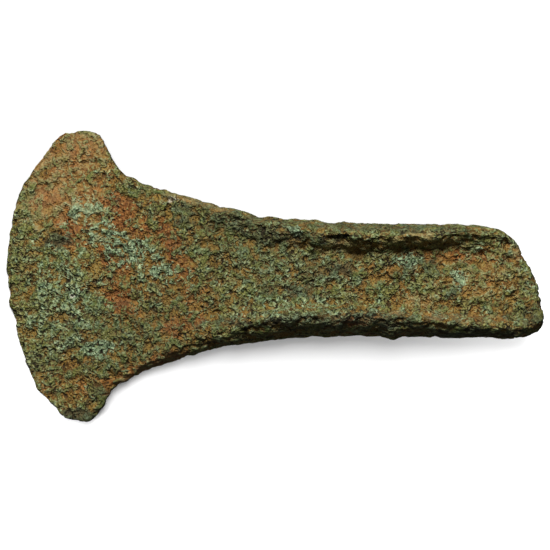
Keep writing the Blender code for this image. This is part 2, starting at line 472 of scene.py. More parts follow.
    def inside(self, u: Array, s: Array) -> Array:
        """1 on the flanges' inner faces and the floor between them, and 0 on the outer sides."""
        within = ease((self.outer_from - np.abs(s - MIDDLE)) / self.outer_ease + 0.5)
        return within * self.standing(u)

    @staticmethod
    def rounding(distance: Array, radius: float) -> Array:
        """Share of the full thickness at a distance from an end rounded as a quarter circle."""
        return np.sqrt(1 - (1 - np.clip(distance / radius, 0.0, 1.0)) ** 2)

    def ring_places(self) -> Array:
        """The rings' u, spaced by adding up the inverse of the wanted spacing along the head.

        Returns:
            One u for each ring, from 0 to 1.
        """
        u = np.linspace(0.0, 1.0, self.fine)
        station = self.middle(u)
        places, gaps = np.array(self.ring_spacing).T
        steps = np.diff(station) / np.interp((station[1:] + station[:-1]) / 2, places, gaps)
        count = np.concatenate(([0.0], np.cumsum(steps)))
        return np.interp(np.linspace(0.0, count[-1], self.rings), count, u)

    def column_places(self, u: Array) -> Array:
        """Each ring's section parameters, evenly spaced along the section's own length.

        Args:
            u: rings, as one column of an array.

        Returns:
            s for each ring and column.
        """
        fine = np.linspace(0.0, FAR_SIDE, self.section_fine)[None, :]
        x, y, z = self.section(u, fine, Face.UPPER)
        steps = np.sqrt(np.diff(x) ** 2 + np.diff(y) ** 2 + np.diff(z) ** 2)
        length = np.concatenate((np.zeros_like(u), np.cumsum(steps, axis=1)), axis=1)
        # Every ring's lengths are laid end to end, two units to a ring, to be read in one go.
        start = 2.0 * np.arange(len(u))[:, None]
        measure = length / length[:, -1:] + start
        wanted = np.linspace(0.0, 1.0, self.columns + 1)[None, :] + start
        places = np.broadcast_to(fine, measure.shape)
        return np.interp(wanted.ravel(), measure.ravel(), places.ravel()).reshape(wanted.shape)


@dataclass(frozen=True)
class Grid:
    """The skin's grid: rings along the head by columns round it, and how they join up.

    The first and last rings have no thickness, so the columns underneath share the vertices
    above them, which closes the skin.

    Attributes:
        rings: number of rings.
        columns: number of columns on one face.
    """

    rings: int
    columns: int

    def vertex_numbers(self) -> Array:
        """The vertex that each place of the grid uses.

        Returns:
            Vertex numbers, a row for each ring and a column for each place round it.
        """
        around = 2 * self.columns
        numbers = np.arange(self.rings * around).reshape(self.rings, around)
        folded = np.minimum(np.arange(around), around - np.arange(around))
        for ring in (0, self.rings - 1):
            numbers[ring] = numbers[ring, 0] + folded
        _, compact = np.unique(numbers, return_inverse=True)
        return compact.reshape(numbers.shape)

    def quads(self) -> Array:
        """Four vertices for each face, in an order that turns its normal outwards.

        Returns:
            Vertex numbers, a row for each face.
        """
        numbers = self.vertex_numbers()
        beside = np.roll(numbers, -1, axis=1)
        corners = (numbers[:-1], numbers[1:], beside[1:], beside[:-1])
        return np.stack(corners, axis=-1).reshape(-1, 4)

    def gather(self, upper: Array, lower: Array) -> Array:
        """One row for each vertex, from the places of both faces, near side to far side.

        Args:
            upper: values on the upper face, one for each ring and column.
            lower: values on the lower face, in the same order.

        Returns:
            The values at the vertices.
        """
        around = np.concatenate((upper, lower[:, -2:0:-1]), axis=1)
        numbers = self.vertex_numbers().ravel()
        _, first = np.unique(numbers, return_index=True)
        return around.reshape(len(numbers), -1)[first]


def outward_normals(points: Array, quads: Array) -> Array:
    """Each vertex's normal: the cross products of its faces' diagonals, added and made unit.

    Args:
        points: vertices.
        quads: faces.

    Returns:
        Unit vectors, one for each vertex.
    """
    a, b, c, d = (points[quads[:, corner]] for corner in range(4))
    facing = np.cross(c - a, d - b)
    total = np.zeros_like(points)
    for corner in range(4):
        np.add.at(total, quads[:, corner], facing)
    return total / np.maximum(np.linalg.norm(total, axis=1, keepdims=True), TINY)


# ---- What the ground did to it, with some painted shade and painted light ----


@dataclass(frozen=True)
class Patch:
    """An uneven oval on the upper face.

    Attributes:
        x: middle, along the head.
        y: middle, across the head.
        long: half length.
        wide: half width.
        turn: degrees from the head's length, anticlockwise from above.
        amount: how full the patch is, 1 being full.
    """

    x: float
    y: float
    long: float
    wide: float
    turn: float = 0.0
    amount: float = 1.0

    def reach(self, x: Array, y: Array) -> Array:
        """Distance from the middle in units of the oval, which is 1 on its border.

        Args:
            x: places along the head.
            y: places across it.

        Returns:
            The distances.
        """
        angle = math.radians(self.turn)
        ahead = (x - self.x) * math.cos(angle) + (y - self.y) * math.sin(angle)
        aside = (y - self.y) * math.cos(angle) - (x - self.x) * math.sin(angle)
        return np.hypot(ahead / self.long, aside / self.wide)


def ovals(*rows: tuple[float, ...]) -> tuple[Patch, ...]:
    """Patches, each from its x, y, half length, half width, turn and amount."""
    return tuple(Patch(*row) for row in rows)


@dataclass(frozen=True)
class Crack:
    """A split in the crust of the upper face, along a bent line.

    Attributes:
        points: (x, y) of the line's corners.
        width: half width of the split.
        depth: its depth in the middle.
    """

    points: Knots
    width: float = 0.32
    depth: float = 0.65

    def depth_at(self, x: Array, y: Array) -> Array:
        """Depth of the split: a bell over the distance to the nearest stretch of the line.

        Args:
            x: places along the head.
            y: places across it.

        Returns:
            Depths in mm.
        """
        nearest = np.full(x.shape, np.inf)
        for (x0, y0), (x1, y1) in zip(self.points, self.points[1:]):
            length = math.hypot(x1 - x0, y1 - y0)
            ahead = ((x - x0) * (x1 - x0) + (y - y0) * (y1 - y0)) / length**2
            ahead = np.clip(ahead, 0.0, 1.0)
            aside = np.hypot(x - x0 - (x1 - x0) * ahead, y - y0 - (y1 - y0) * ahead)
            nearest = np.minimum(nearest, aside)
        return self.depth * np.exp(-((nearest / self.width) ** 2))


@dataclass(frozen=True)
class Layer:
    """One layer of the patina: its patches, and how ragged and soft their borders are."""

    patches: tuple[Patch, ...]
    ragged: float
    soft: float
    grain: float
    seed: int

    def cover(self, points: Array) -> Array:
        """How much of the layer lies at each point.

        Each patch is full inside its oval and fades over the border, which noise pushes in and
        out. The fullest patch counts.

        Args:
            points: level positions in mm, one row each.

        Returns:
            Shares from 0 up to the greatest amount.
        """
        wobble = fractal_noise(points / self.grain, 3, self.seed) * self.ragged
        cover = np.zeros(len(points))
        for patch in self.patches:
            inside = 1 - patch.reach(points[:, 0], points[:, 1]) + wobble
            cover = np.maximum(cover, patch.amount * ease(inside / self.soft + 0.5))
        return cover


@dataclass(frozen=True)
class Ground:
    """Where the patina's layers, the cracks and the hollows lie on the upper face.

    An amount over 1 in a layer makes that patch purer than the rest. A hollow's amount is its
    depth in mm. Those under 0 are heaps of earth along the foot of the far flange.
    """

    earth: Layer = Layer(
        ovals(
            (16, 22, 11, 13, 20, 0.6), (15.8, 29.4, 3.6, 3.2, 0, 0.85), (9, 18.2, 4.2, 3.4),
            (23.1, 13.6, 2.2, 1.7, 0, 0.9), (16.8, 7.5, 2.6, 1.9, 0, 0.8),
            (14.6, 11.8, 4, 2.2, -40), (27.6, 14.8, 6.6, 3.4, -30, 1.05),
            (39.2, 8.2, 5.5, 2.3, -52, 1.05), (41.6, 3.5, 6, 2.4, -75, 0.75),
            (43.9, -3.8, 3.6, 2.6, 0, 0.7), (26.5, 2.4, 4, 2.8, -40, 0.9),
            (27.9, -5.5, 5.4, 3, -48), (38, -4, 14, 10, -20, 0.35), (42, -11.4, 4.8, 2.2, 12, 0.9),
            (15.7, -25.7, 6.5, 6, 0, 0.5), (96, -2, 24, 6.5, 0, 0.3),
            (112.5, 0.4, 7.5, 5, 0, 0.35), (115, 7.4, 4.5, 1.4, 0, 0.4), (106, 5, 13, 1.7, 0, 0.7),
            (83.5, -10.6, 3.6, 1.1, 0, 0.9), (107.5, -8.8, 10, 1.4, -2, 0.5),
            (35, -21, 12, 2, 22, 0.7),
        ),
        ragged=0.8, soft=1.3, grain=2.6, seed=21,
    )
    verdigris: Layer = Layer(
        ovals(
            (18.5, 15.6, 4.2, 3, 25, 1.25), (24.6, 9.9, 4.2, 3.2), (30.3, 5.4, 12, 3.8, -33),
            (14.6, -5.5, 9, 13, 0, 0.4), (22.8, -17.4, 4.4, 2.2, 0, 0.9),
            (16.9, -4.3, 2.6, 2.6, 0, 0.7), (68.5, 0.4, 14, 7, 0, 0.2),
            (69, -6.4, 10, 2.6, 0, 0.4), (106.8, 0.1, 1.35, 2.2, 12, 1.5),
            (94.3, 3.9, 2.8, 2.4, 0, 1.1), (110.2, 7.1, 1.9, 1.3, 0, 0.45),
            (69.2, 10.3, 1.6, 1.6, 0, 1.3), (121, 3, 8, 1.7, -64, 0.15),
            (82, -9.3, 30, 1.6, 1, 0.4),
        ),
        ragged=0.7, soft=1.0, grain=2.2, seed=31,
    )
    # The patches along the foot of the far flange, about x 77 to 112, are partly painted light:
    # paler colour that lifts the shade on its inner face.
    dust: Layer = Layer(
        ovals(
            (17.4, 29.4, 9, 6, 20, 0.65), (10, 19, 6, 8, -30, 0.7), (19, 17.5, 6, 6, 0, 0.5),
            (8.2, 28.1, 3.8, 2.2, 50, 1.2), (46, 17, 8, 1.2, -14, 0.8),
            (34, -22.6, 8, 1.4, 25, 0.8), (79, 6.2, 6.5, 1.5, 0, 0.7), (92.5, 6.2, 3, 1.3, 0, 0.6),
            (98, -5.2, 4, 1.7, 0, 0.6), (120.3, 6, 2.4, 1.6, -60, 0.8),
            (29.8, -25.8, 2.6, 1.6, 40, 0.8), (22.8, 8.2, 2, 1.4, 0, 0.6),
            (82.7, 5.8, 2, 1.2, 0, 0.6), (88, 11.5, 26, 1.6, -2, 0.2), (98, 9.8, 5, 0.7, -2),
            (100, 8, 12, 1.3, -2, 0.6), (92.2, -8.1, 2, 0.7, 0, 0.8),
            (104, -8.9, 14, 1.2, -2, 0.45), (102.5, -9.2, 2.2, 0.7, 0, 0.8),
            (112.5, 0.5, 8, 5.5, 0, 0.45),
        ),
        ragged=0.7, soft=1.0, grain=2.0, seed=61,
    )
    chalk: Layer = Layer(
        ovals(
            (39.8, 17.8, 1.4, 0.9), (16.4, -4.9, 0.9, 0.6, 0, 1.2),
        ),
        ragged=0.5, soft=0.5, grain=1.2, seed=41,
    )
    # Partly dark patina: the spots in the channel and near the tip, and the streaks on the far
    # flange. The patches along the near edge, from the lower tip to the butt's near corner, are
    # painted shade where the light does not reach.
    shade: Layer = Layer(
        ovals(
            (11.8, 8.4, 2.6, 1.9, -15, 1.1), (58, 11.5, 20, 3.6, -14, 0.6),
            (62, 5, 24, 9, 0, 0.35), (34, -13, 22, 12, 12, 0.35), (80, -10.2, 30, 1.8, 2, 0.7),
            (74, 2, 5, 3.5, 0, 0.5), (99.5, 2.6, 3, 1.8, 0, 0.5), (19, -33.4, 5.5, 2.2, 0, 1.2),
            (109, -13.6, 10, 1.5, 0, 1.2), (91.5, -11.8, 3, 1.2), (71, -3.2, 3.4, 2, 0, 0.8),
            (63, -3.4, 2.2, 1.6, 0, 0.7), (80.4, 2.4, 2.4, 1.7, 0, 0.8),
            (123.4, -8.6, 2, 3, 0, 0.7), (42, 12.8, 2.4, 1.6, 0, 0.7),
            (105.2, -3.2, 2.2, 1.4, 0, 0.7), (95.2, 2.2, 2.2, 1.4, 0, 0.6),
            (23.5, -27, 2.4, 1.8, 0, 0.6), (85, 12, 27, 1.6, -2, 0.6),
        ),
        ragged=0.8, soft=1.4, grain=2.4, seed=51,
    )
    cracks: tuple[Crack, ...] = (
        Crack(((6, 19), (8.2, 19.9), (10.3, 21.5))), Crack(((39.1, 6.7), (41.7, 7.6))),
        Crack(((17.3, 26.6), (20.5, 27), (24, 26.6))),
        Crack(((25.8, 17.3), (29, 17.6), (32.1, 17))), Crack(((24.9, 14.9), (27, 16.1))),
        Crack(((8, -21.5), (12, -20.2))), Crack(((20.5, -30.5), (22.5, -29))),
        Crack(((112.8, -5.6), (115, -6.3), (117, -6.1))), Crack(((21.4, -1.8), (23, -1.2))),
        Crack(((96.2, 10.8), (100.6, 10.5), (104.8, 10.4), (107.6, 10.9), (113.1, 11.3))),
    )
    hollows: tuple[Patch, ...] = ovals(
        (60.8, 10.1, 1.8, 1, -10, 0.6), (69.7, 8.8, 1.5, 1.1, 0, 0.8),
        (79.1, 8.4, 2.6, 1, 10, 0.9), (88.5, 6.2, 4, 1.7, 0, -0.7), (99, 6.4, 4, 1.5, 0, -0.6),
        (104.5, 8, 6, 1.3, -2, -0.8), (111.5, 7.9, 4, 1.4, -4, -0.8),
    )

    def layers(self) -> dict[Finish, Layer]:
        """The patina's layers, each under its finish."""
        return {finish: getattr(self, finish.value) for finish in Finish}


@dataclass(frozen=True)
class Relief:
    """How rough the corroded skin is. Heights and sizes are in mm."""

    # Each swell is a height and its two waves, as (by x, by y, shift, shift by face).
    swells: tuple[tuple[float, tuple[tuple[float, float, float, float], ...]], ...] = (
        (0.16, ((0.31, 0.17, 0.0, 0.8), (0.13, -0.36, 1.1, 0.0))),
        (0.09, ((0.74, -0.21, 0.0, 2.0), (0.22, 0.58, 0.0, 0.0))),
    )
    swell_fade: Pair = (0.4, 2.4)
    lump_size: float = 3.4
    lump_height: float = 0.8
    island_size: float = 2.1
    island_bias: float = 0.12
    island_edge: float = 0.3
    island_height: float = 0.42
    earth_bias: float = 0.65
    crust_bias: float = 0.2
    knoll_size: float = 1.7
    knoll_height: float = 0.4
    grain_size: float = 1.05
    grain_height: float = 0.2
    dome_bow: float = 1.5
    least_dome: float = 0.4
    grit_size: float = 0.6
    grit_height: float = 0.08
    crease: float = 0.12
    crease_share: float = 0.6
    pit_size: float = 5.5
    pit_reach: float = 0.2
    pit_edge: float = 0.12
    pit_share: float = 0.6
    pit_depth: float = 0.45
    stray: float = 0.5
    stray_size: float = 1.3
    streak_turn: float = 27.0
    streak_stretch: float = 1.8
    # Where the streaks end along and across the head, and over what length they fade.
    streak_end: Pair = (34.0, 12.0)
    streak_fade: Pair = (12.0, 8.0)
    # How knobbly the bare ground is, and how much of that the flanks and the dust take away.
    ground_knobs: float = 0.35
    flank_calm: float = 0.6
    dust_calm: float = 0.8
    rib_size: float = 1.2
    rib_stretch: float = 5.0
    rib_height: float = 0.45
    # What steep sides keep of the relief, how far they are drawn in, and the height that is
    # taken off everywhere.
    side_share: float = 0.4
    side_inset: float = 0.14
    level: float = 0.6

    def swell(self, points: Array, face: float) -> Array:
        """Slow swells: each is a height times two sine waves over the face.

        Args:
            points: level positions in mm.
            face: the direction of the face, 1 or -1.

        Returns:
            Heights in mm.
        """
        total = np.zeros(points.shape[:-1])
        for height, waves in self.swells:
            swell = np.full_like(total, height)
            for by_x, by_y, shift, face_shift in waves:
                phase = by_x * points[..., 0] + by_y * points[..., 1] + shift
                swell = swell * np.sin(phase + face_shift * face)
            total += swell
        return total

    def streaked(self, points: Array) -> Array:
        """Points drawn together along the streaks' direction, so that grains there are long.

        Args:
            points: level positions in mm.

        Returns:
            The points that noise is read at instead.
        """
        angle = math.radians(self.streak_turn)
        course = np.array((math.cos(angle), math.sin(angle)))
        flat = points[:, :2]
        share = ease((self.streak_end - flat) / self.streak_fade).prod(axis=1)
        drawn = (flat @ course) * (1 / (1 + (self.streak_stretch - 1) * share) - 1)
        moved = points.copy()
        moved[:, :2] += drawn[:, None] * course
        return moved

    def heights(
        self, points: Array, covers: dict[Finish, Array], flank: Array
    ) -> dict[str, Array]:
        """How far the skin stands out at each point, and what it is made of there.

        The corrosion crust is an archipelago: fractal noise over a threshold that rises where
        earth lies and falls where verdigris lies. Its islands stand up and are knobbly. Knolls
        are the size of smooth noise without its sign, so they are round with sharp creases
        between, and grains are domes round random seeds. All places are pushed about by noise.
        On the flanks ribs of noise drawn out along the head take the place of the knolls.

        Args:
            points: level positions in mm.
            covers: how much of each layer lies at each point.
            flank: from 0 on the open faces to 1 where the skin is upright.

        Returns:
            relief, the height in mm; crust, over 0 on the islands; and hollow, from 0 on the
            tops to 1 in the creases.
        """
        places = points / self.stray_size
        push = np.stack([gradient_noise(places, Seed.STRAY + axis) for axis in range(3)], axis=-1)
        strayed = self.streaked(points + push * self.stray)
        lumps = fractal_noise(points / self.lump_size, 2, Seed.LUMPS)
        crust = fractal_noise(strayed / self.island_size, 3, Seed.ISLANDS) + self.island_bias
        crust += self.crust_bias * covers[Finish.VERDIGRIS]
        crust -= self.earth_bias * covers[Finish.EARTH]
        island = ease(crust / self.island_edge + 0.5)
        knolls = np.abs(gradient_noise(strayed / self.knoll_size, Seed.KNOLLS))
        grains = grain_noise(strayed / self.grain_size, Seed.GRAINS)
        domes = (1 - grains.near**2 * self.dome_bow) * rise(self.least_dome, grains.draw)
        grit = gradient_noise(points / self.grit_size, Seed.GRIT)
        pits = grain_noise(points / self.pit_size, Seed.PITS)
        sunk = ease((self.pit_reach * (0.5 + pits.draw) - pits.near) / self.pit_edge)
        sunk = sunk * (pits.draw < self.pit_share)
        drawn = strayed * (1 / self.rib_stretch, 1.0, 1.0) / self.rib_size
        ribs = fractal_noise(drawn, 2, Seed.RIBS) * flank
        knobbly = rise(self.ground_knobs, island) * (1 - self.flank_calm * flank)
        knobbly = knobbly * (1 - self.dust_calm * covers[Finish.DUST])
        fine = knolls * self.knoll_height + domes * self.grain_height
        relief = lumps * self.lump_height + island * self.island_height + fine * knobbly
        relief += grit * self.grit_height + ribs * self.rib_height - sunk * self.pit_depth
        # The hollow number sets only the painted shade of the material.
        crease = np.exp(-knolls / self.crease) + np.exp(-grains.gap / self.crease)
        hollow = np.clip(crease * self.crease_share * knobbly + sunk, 0.0, 1.0)
        return {"relief": relief, "crust": crust, "hollow": hollow}


# ---- Materials ----


def pigment(red: float, green: float, blue: float) -> Colour:
    """Linear colour from display values of 0 to 255, by the sRGB curve.

    Args:
        red: display value.
        green: display value.
        blue: display value.

    Returns:
        Red, green, blue and full opacity.
    """
    shares = np.array((red, green, blue)) / 255.0
    linear = np.where(shares <= 0.04045, shares / 12.92, ((shares + 0.055) / 1.055) ** 2.4)
    return (*linear.tolist(), 1.0)


class Wire:
    """The output of a node, with arithmetic that adds Math nodes."""

    def __init__(self, board: "Board", socket: bpy.types.NodeSocket) -> None:
        """Wraps one output socket of a board."""
        self.board = board
        self.socket = socket

    def _math(self, operation: str, first: Value, second: Value) -> "Wire":
        """A Math node on two values."""
        return self.board.node(
            "ShaderNodeMath", {"operation": operation}, {0: first, 1: second}
        )

    def __add__(self, other: Value) -> "Wire":
        """self + other."""
        return self._math("ADD", self, other)

    def __sub__(self, other: Value) -> "Wire":
        """self - other."""
        return self._math("SUBTRACT", self, other)

    def __rsub__(self, other: Value) -> "Wire":
        """other - self."""
        return self._math("SUBTRACT", other, self)

    def __mul__(self, other: Value) -> "Wire":
        """self * other."""
        return self._math("MULTIPLY", self, other)

    # A sum and a product are the same either way round.
    __radd__ = __add__
    __rmul__ = __mul__


@dataclass(frozen=True)
class Coat:
    """One colour of a finish, laid on where a sum of patterns is high.

    Attributes:
        colour: its linear colour.
        low: the sum at which it starts.
        high: the sum at which it is full.
        share: how much of what is under it the full coat hides.
    """

    colour: Colour
    low: float
    high: float
    share: float = 1.0


class Board:
    """The nodes of one material."""

    MIX_COLOUR = {"factor": 0, "a": 6, "b": 7, "result": 2}
    SHIFT_COURSE = (1.0, 0.7, -1.0)
    NOISE_ROUGHNESS = 0.6

    def __init__(self, name: str) -> None:
        """Makes an empty material.

        Args:
            name: the material's name.
        """
        self.material = bpy.data.materials.new(name)
        self.material.use_nodes = True
        self.tree = self.material.node_tree
        self.tree.nodes.clear()

    def node(
        self, kind: str, settings: dict, inputs: dict, output: int | str = 0
    ) -> Wire:
        """Adds a node.

        Args:
            kind: the node's type.
            settings: its properties, set first.
            inputs: sockets by name or number, each with a value or a wire.
            output: the output socket to return.

        Returns:
            The wire of that output.
        """
        made = self.tree.nodes.new(kind)
        for key, value in settings.items():
            setattr(made, key, value)
        for key, value in inputs.items():
            if isinstance(value, Wire):
                self.tree.links.new(value.socket, made.inputs[key])
            else:
                made.inputs[key].default_value = value
        outputs = made.outputs
        return Wire(self, outputs[output]) if len(outputs) else Wire(self, None)

    def mix(self, factor: Value, a: Value, b: Value) -> Wire:
        """Colour a where the factor is 0 and colour b where it is 1."""
        at = self.MIX_COLOUR
        return self.node(
            "ShaderNodeMix",
            {"data_type": "RGBA"},
            {at["factor"]: factor, at["a"]: a, at["b"]: b},
            at["result"],
        )

    def smooth(self, value: Wire, low: float, high: float, full: float = 1.0) -> Wire:
        """0 below low, full above high, eased between."""
        return self.node(
            "ShaderNodeMapRange",
            {"interpolation_type": "SMOOTHSTEP"},
            {"Value": value, "From Min": low, "From Max": high, "To Max": full},
        )

    def lay(self, coat: Coat, total: Wire, under: Value, held: Wire | None = None) -> Wire:
        """Lays a coat over a colour.

        Args:
            coat: the coat.
            total: the sum of patterns that says where it lies.
            under: the colour under it.
            held: the share of it that the surface holds, where that varies.

        Returns:
            The colour on top.
        """
        mask = self.smooth(total, coat.low, coat.high, coat.share)
        return self.mix(mask if held is None else mask * held, under, coat.colour)

    def vector(self, operation: str, first: Value, second: Value) -> Wire:
        """A Vector Math node on two vectors."""
        return self.node("ShaderNodeVectorMath", {"operation": operation}, {0: first, 1: second})

    def scaled(self, vector: Wire, scale: float) -> Wire:
        """A vector times a number."""
        return self.node(
            "ShaderNodeVectorMath", {"operation": "SCALE"}, {0: vector, "Scale": scale}
        )

    def attribute(self, name: str) -> Wire:
        """The number that the mesh holds under a name."""
        return self.node("ShaderNodeAttribute", {"attribute_name": name}, {}, "Fac")

    def noise(self, place: Wire, noise: Triple, output: str = "Fac") -> Wire:
        """Noise texture.

        Args:
            place: position in mm.
            noise: length of one swell in mm, octaves of finer noise, and how far the pattern is
                moved in mm, so that two noises differ.
            output: Fac or Color.

        Returns:
            The noise, from 0 to 1.
        """
        size, detail, shift = noise
        moved = self.vector("ADD", place, tuple(shift * part for part in self.SHIFT_COURSE))
        inputs = {"Scale": 1.0 / size, "Detail": detail, "Roughness": self.NOISE_ROUGHNESS}
        return self.node("ShaderNodeTexNoise", {}, {"Vector": moved, **inputs}, output)

    def ripple(self, place: Wire, noise: Triple) -> Wire:
        """Noise about 0, at most half a unit up and down."""
        return self.noise(place, noise) - 0.5


@dataclass(frozen=True)
class PatinatedBronze:
    """Bronze under a dry corrosion crust: olive, with green crusts, brown earth, painted shade and
    highlights.
    """

    olive: Colour = pigment(100, 100, 42)
    leaf: Colour = pigment(92, 116, 82)
    loam: Colour = pigment(124, 98, 40)
    rim: Colour = pigment(176, 170, 124)
    ochre: Coat = Coat(pigment(140, 88, 36), 0.2, 1.15)
    rust: Coat = Coat(pigment(104, 60, 24), -0.2, 0.5)
    moss: Coat = Coat(pigment(74, 88, 40), -0.2, 0.3)
    tan: Coat = Coat(pigment(140, 126, 70), 0.0, 0.35, 0.6)
    pale: Coat = Coat(pigment(154, 178, 142), -0.15, 0.28)
    # Painted highlight: a pale colour on the tops of the relief and along the flanks' ribs.
    painted_top_highlight: Coat = Coat(pigment(184, 182, 128), 0.0, 0.45)
    dust: Coat = Coat(pigment(138, 112, 70), 0.2, 1.0, 0.55)
    chalk: Coat = Coat(pigment(206, 200, 180), 0.5, 0.9, 0.8)
    # Dark grey-green of the shade layer: dark patina, and painted shade along the near edge.
    dark_patina_and_shade: Coat = Coat(pigment(56, 62, 46), 0.1, 0.9, 0.7)
    # Painted shade: near-black laid in creases, hollows, pits and low places of the relief, and
    # speckled over the flange crests.
    gap: Coat = Coat(pigment(34, 28, 10), 0.0, 0.45, 0.92)
    metallic: float = 0.05
    specular: float = 0.25
    roughness: float = 0.72
    roughness_swing: float = 0.4
    lattice_turn: Triple = (0.61, 0.47, 0.83)
    # Noises, each as its size in mm, its octaves and its shift in mm.
    stray: Triple = (1.2, 1.0, 3.0)
    broad: Triple = (4.5, 2.0, 11.0)
    drift: Triple = (1.9, 2.0, 17.0)
    middling: Triple = (1.2, 1.0, 23.0)
    tint: Triple = (0.9, 1.0, 29.0)
    small: Triple = (0.62, 1.0, 37.0)
    fine: Triple = (0.34, 1.0, 41.0)
    ribs: Triple = (0.9, 2.0, 61.0)
    rib_stretch: float = 5.0
    # Where other masks start and where they are full.
    blob_edges: Pair = (1.0, 1.5)
    leafy_edges: Pair = (-0.1, 0.6)
    leafy_share: float = 0.9
    crusty_edges: Pair = (-0.2, 0.15)
    calm_edges: Pair = (0.2, 1.0)
    rough_edges: Pair = (-0.22, 0.12)

    def material(self) -> bpy.types.Material:
        """The finish as nodes that read Object coordinates and the skin's attributes.

        Each coat lies where a sum of noises and attributes, each times how much it counts, is
        high. Loam, ochre and rust lie between the islands of the crust. The crust drifts from
        olive to moss, tan and green. Dust, chalk and the dark grey-green of the shade layer lie
        over both; the last is partly painted shade. Tops get a painted highlight and creases
        painted shade, and the bump follows the same noises. Calm is the share of painted crease
        shade and bump that earth, dust and thick green leave.

        Returns:
            The material.
        """
        board = Board("patinated_bronze")
        coordinates = board.node("ShaderNodeTexCoord", {}, {}, "Object")
        level = board.scaled(coordinates, 1 / MM)
        place = board.node(
            "ShaderNodeVectorRotate",
            {"rotation_type": "EULER_XYZ"},
            {"Vector": level, "Rotation": self.lattice_turn},
        )
        push = board.vector("SUBTRACT", board.noise(place, self.stray, "Color"), (0.5, 0.5, 0.5))
        strayed = board.vector("ADD", place, push)
        broad = board.ripple(place, self.broad)
        drift, middling, tint, small, fine = (
            board.ripple(strayed, noise)
            for noise in (self.drift, self.middling, self.tint, self.small, self.fine)
        )
        drawn = board.vector("MULTIPLY", level, (1 / self.rib_stretch, 1.0, 1.0))
        earth, verdigris, dust, chalk, shade = (board.attribute(layer.value) for layer in Finish)
        crust, hollow, flank, crest = (
            board.attribute(name) for name in ("crust", "hollow", "flank", "crest")
        )
        ribs = board.ripple(drawn, self.ribs) * flank
        blob = board.smooth(verdigris, *self.blob_edges)

        ground = board.lay(self.ochre, earth + broad * 1.3 + drift * 1.2 + tint, self.loam)
        rusty = earth * 0.3 - 0.1 - drift - small * 1.6 - fine
        ground = board.lay(self.rust, rusty, ground, earth * 0.4 + 0.5)

        skin = board.lay(self.moss, tint + drift - broad, self.olive)
        skin = board.lay(self.tan, broad * 0.8 + tint - drift, skin)
        green = board.lay(self.pale, small + tint + blob * 0.05, self.leaf)
        leafy = verdigris * 0.65 + drift * 1.2 + tint * 0.8 + broad * 0.5 + blob * 0.4
        skin = board.mix(board.smooth(leafy, *self.leafy_edges, self.leafy_share), skin, green)

        crusty = crust * 0.8 + middling * 1.4 + small * 1.4 + fine + blob * 0.7
        crusty = board.smooth(crusty, *self.crusty_edges)
        colour = board.mix(crusty, ground, skin)
        colour = board.mix(crusty * (1.0 - crusty) * (dust * 1.6 + 0.8), colour, self.rim)
        # Painted highlight on the tops of the relief and along the flanks' ribs.
        highlight_sum = middling * 0.6 + small + fine + ribs + drift * 0.5
        held = (crusty * 0.25 + 0.25) * (1.0 - blob * 0.6)
        colour = board.lay(self.painted_top_highlight, highlight_sum, colour, held)

        colour = board.lay(self.dust, dust + middling + fine * 0.8, colour)
        colour = board.lay(self.chalk, chalk * 0.8 + fine * 1.5 + middling, colour)
        # The shade layer's dark grey-green: dark patina, and painted shade along the near edge.
        colour = board.lay(self.dark_patina_and_shade, shade + fine + middling + drift * 0.5, colour)

        calm = 1.0 - (1.0 - crusty) * board.smooth(earth, *self.calm_edges) * 0.25 - blob * 0.4
        calm = calm * (1.0 - dust * 0.6)
        calm = calm * (board.smooth(broad + drift * 0.6, *self.rough_edges) * 0.5 + 0.68)
        # Painted shade in creases, hollows, pits and low places, and speckled over the flange
        # crests.
        low = hollow * 0.25 - middling - small - fine * 1.2 - ribs - drift * 0.6
        low = low + crest * (0.12 - tint * 1.2 - small * 0.6 - drift * 0.5)
        colour = board.lay(self.gap, low, colour, calm)

        relief = (middling * 2.2 + small * 1.35) * (1.0 - flank * 0.55) * calm
        relief = relief + ribs * 1.2 + (fine * 0.2 + crusty * 0.12) * calm
        bump = board.node(
            "ShaderNodeBump", {}, {"Height": relief, "Distance": MM, "Strength": 1.0}
        )
        shader = board.node(
            "ShaderNodeBsdfPrincipled",
            {},
            {
                "Base Color": colour,
                "Roughness": self.roughness + fine * self.roughness_swing,
                "Metallic": self.metallic,
                "Specular IOR Level": self.specular,
                "Normal": bump,
            },
        )
        board.node("ShaderNodeOutputMaterial", {}, {"Surface": shader})
        return board.material


def plain_material(name: str, colour: Colour, roughness: float) -> bpy.types.Material:
    """An even matt finish for the floor.

    Args:
        name: the material's name.
        colour: its linear colour.
        roughness: from 0, a mirror, to 1.

    Returns:
        The material.
    """
    board = Board(name)
    shader = board.node(
        "ShaderNodeBsdfPrincipled", {}, {"Base Color": colour, "Roughness": roughness}
    )
    board.node("ShaderNodeOutputMaterial", {}, {"Surface": shader})
    return board.material


# ---- The head ----


def new_object(name: str, data: bpy.types.ID) -> bpy.types.Object:
    """Puts data into the scene as an object at the origin.

    Args:
        name: the object's name.
        data: its mesh, light or camera.

    Returns:
        The object.
    """
    made = bpy.data.objects.new(name, data)
    bpy.context.collection.objects.link(made)
    return made


